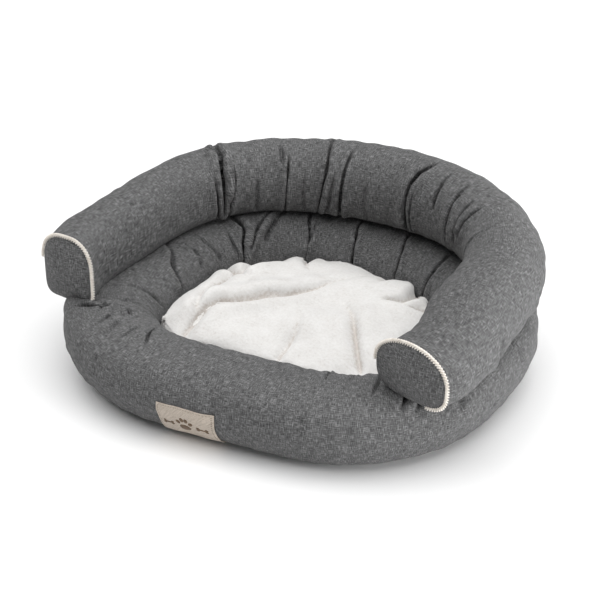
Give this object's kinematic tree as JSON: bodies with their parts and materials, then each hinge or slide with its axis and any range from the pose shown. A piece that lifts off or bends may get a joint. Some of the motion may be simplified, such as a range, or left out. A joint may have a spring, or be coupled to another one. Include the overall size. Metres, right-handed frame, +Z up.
{
  "type": "pet cushion bed",
  "caption": "Sofa-style pet bed: a stuffed oval wall carries a C-shaped stuffed roll with piped ends round the sides and back, and a loose plush cushion fills the well.",
  "frame": {"origin": "on the floor under the middle of the bed's bounding box", "axes": "+Z up; -Y is the low front where the animal steps in; +X is the right-hand side seen from the front"},
  "size_m": [0.6132, 0.5254, 0.2163],
  "materials": {
    "grey_fabric": "matt melange linen-look weave",
    "base_fabric": "matt non-slip weave with raised dots",
    "lining_fabric": "matt plain weave",
    "fibre_filling": "matt polyester fibre",
    "plush": "soft short-pile plush",
    "cream_cord": "braided cord",
    "patch_fabric": "matt twill with brown thread"
  },
  "bodies": {
    "bed": {"base_panel": "base_fabric", "floor_pad": "fibre_filling", "floor_lining": "lining_fabric", "wall_cover": "grey_fabric", "wall_filling": "fibre_filling", "roll_cover": "grey_fabric", "roll_filling": "fibre_filling", "right_end_panel": "grey_fabric", "left_end_panel": "grey_fabric", "right_piping": "cream_cord", "left_piping": "cream_cord", "front_patch": "patch_fabric"},
    "cushion": {"cushion_top": "plush", "cushion_bottom": "lining_fabric", "cushion_filling": "fibre_filling"}
  },
  "joints": [
    {"name": "cushion_lift_out", "type": "slide", "parent": "bed", "child": "cushion", "axis": [0, 0, 1], "range_m": [0, 0.25]}
  ]
}
